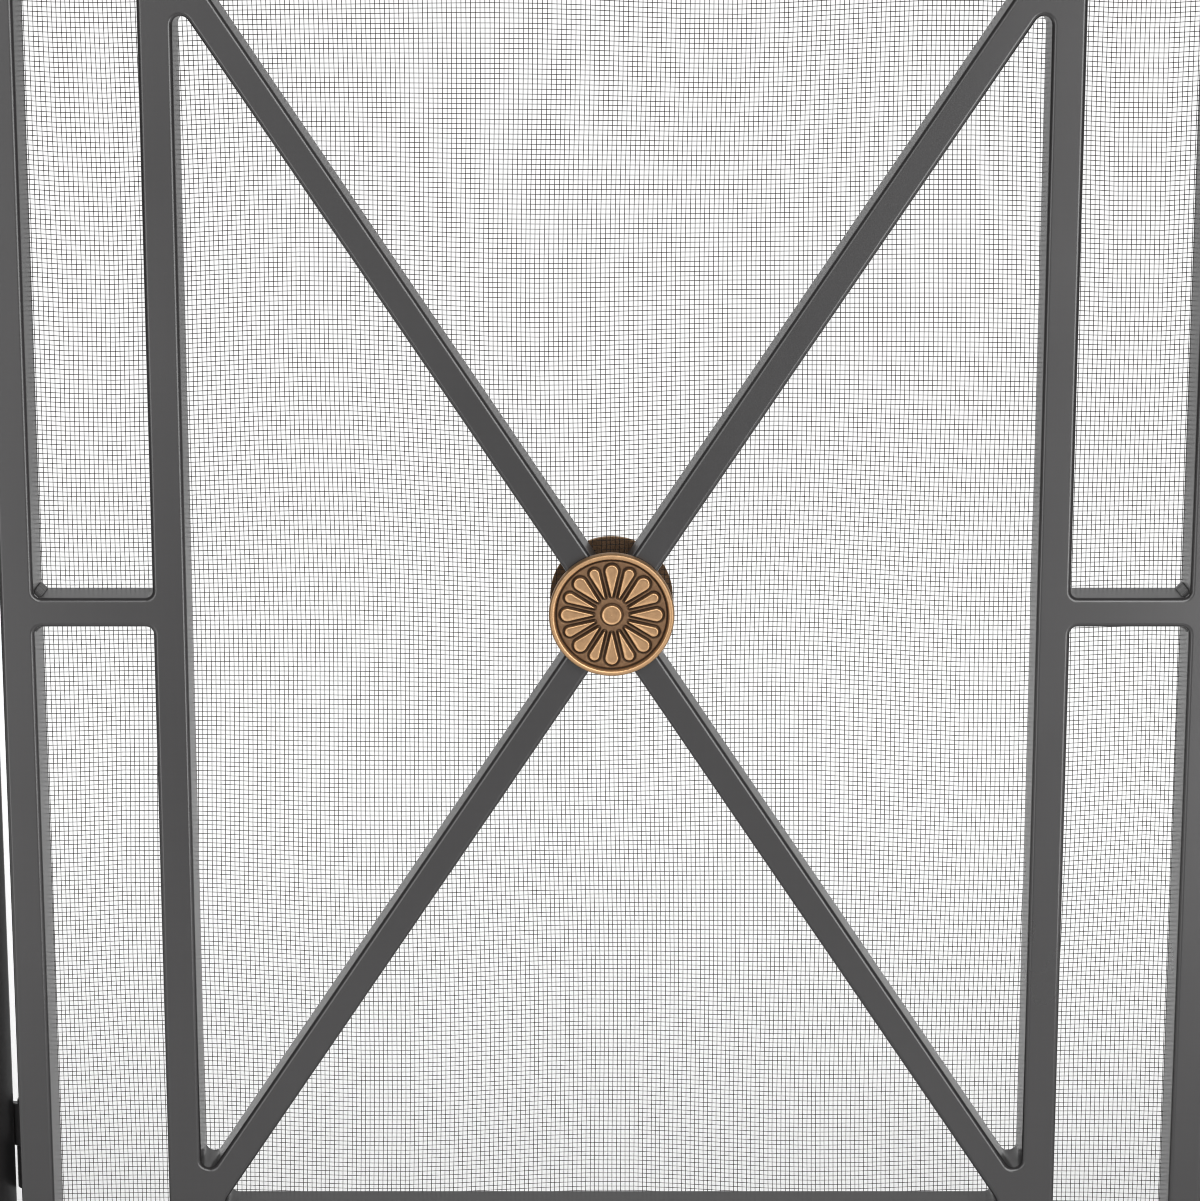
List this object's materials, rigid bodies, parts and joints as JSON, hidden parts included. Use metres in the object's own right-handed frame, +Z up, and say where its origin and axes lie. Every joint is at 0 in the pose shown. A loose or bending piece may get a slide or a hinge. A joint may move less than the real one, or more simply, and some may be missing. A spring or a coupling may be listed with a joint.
{
  "type": "fireplace screen",
  "caption": "Folding fireplace screen with welded tube frames, crossed bars, woven wire cloth and a round petalled medallion at the middle.",
  "frame": {"origin": "on the floor, under the middle of the screen as it stands with its wings folded back, at the bottom centre of its box", "axes": "+X to the right along the centre panel, as seen from the front; +Y to the back, towards the fire; +Z up. The front faces -Y"},
  "size_m": [1.0456, 0.1565, 0.788],
  "materials": {
    "graphite_paint": "satin",
    "wire_cloth": "satin",
    "aged_copper": "satin",
    "pin_steel": "satin",
    "foot_rubber": "matte"
  },
  "bodies": {
    "centre_panel": {"cloth_frame": "graphite_paint", "cross_bar_lower": "graphite_paint", "cross_bar_upper": "graphite_paint", "cross_bar_whole": "graphite_paint", "foot_left": "foot_rubber", "foot_right": "foot_rubber", "frame_rail_bottom": "graphite_paint", "frame_rail_top": "graphite_paint", "frame_stile_left": "graphite_paint", "frame_stile_right": "graphite_paint", "hinge_pin_left_lower": "pin_steel", "hinge_pin_left_upper": "pin_steel", "hinge_pin_right_lower": "pin_steel", "hinge_pin_right_upper": "pin_steel", "inner_rail_bottom": "graphite_paint", "inner_rail_top": "graphite_paint", "inner_stile_left": "graphite_paint", "inner_stile_right": "graphite_paint", "knuckle_left_lower": "graphite_paint", "knuckle_left_upper": "graphite_paint", "knuckle_right_lower": "graphite_paint", "knuckle_right_upper": "graphite_paint", "medallion_front": "aged_copper", "medallion_rear": "aged_copper", "medallion_spacer": "graphite_paint", "medallion_stud": "pin_steel", "tie_bottom": "graphite_paint", "tie_left": "graphite_paint", "tie_right": "graphite_paint", "tie_top": "graphite_paint", "wire_cloth": "wire_cloth"},
    "left_wing": {"left_wing_cloth_frame": "graphite_paint", "left_wing_cross_bar_lower": "graphite_paint", "left_wing_cross_bar_upper": "graphite_paint", "left_wing_cross_bar_whole": "graphite_paint", "left_wing_foot": "foot_rubber", "left_wing_frame_rail_bottom": "graphite_paint", "left_wing_frame_rail_top": "graphite_paint", "left_wing_inner_rail_bottom": "graphite_paint", "left_wing_inner_rail_top": "graphite_paint", "left_wing_knuckle_lower": "graphite_paint", "left_wing_knuckle_upper": "graphite_paint", "left_wing_stile_free": "graphite_paint", "left_wing_stile_hinge": "graphite_paint", "left_wing_wire_cloth": "wire_cloth"},
    "right_wing": {"right_wing_cloth_frame": "graphite_paint", "right_wing_cross_bar_lower": "graphite_paint", "right_wing_cross_bar_upper": "graphite_paint", "right_wing_cross_bar_whole": "graphite_paint", "right_wing_foot": "foot_rubber", "right_wing_frame_rail_bottom": "graphite_paint", "right_wing_frame_rail_top": "graphite_paint", "right_wing_inner_rail_bottom": "graphite_paint", "right_wing_inner_rail_top": "graphite_paint", "right_wing_knuckle_lower": "graphite_paint", "right_wing_knuckle_upper": "graphite_paint", "right_wing_stile_free": "graphite_paint", "right_wing_stile_hinge": "graphite_paint", "right_wing_wire_cloth": "wire_cloth"}
  },
  "joints": [
    {"name": "left_wing_fold", "type": "hinge", "parent": "centre_panel", "child": "left_wing", "pos_m": [-0.29, -0.04291, 0.4], "axis": [0, 0, -1], "range_deg": [-30, 150]},
    {"name": "right_wing_fold", "type": "hinge", "parent": "centre_panel", "child": "right_wing", "pos_m": [0.29, -0.04291, 0.4], "axis": [0, 0, 1], "range_deg": [-30, 150]}
  ]
}
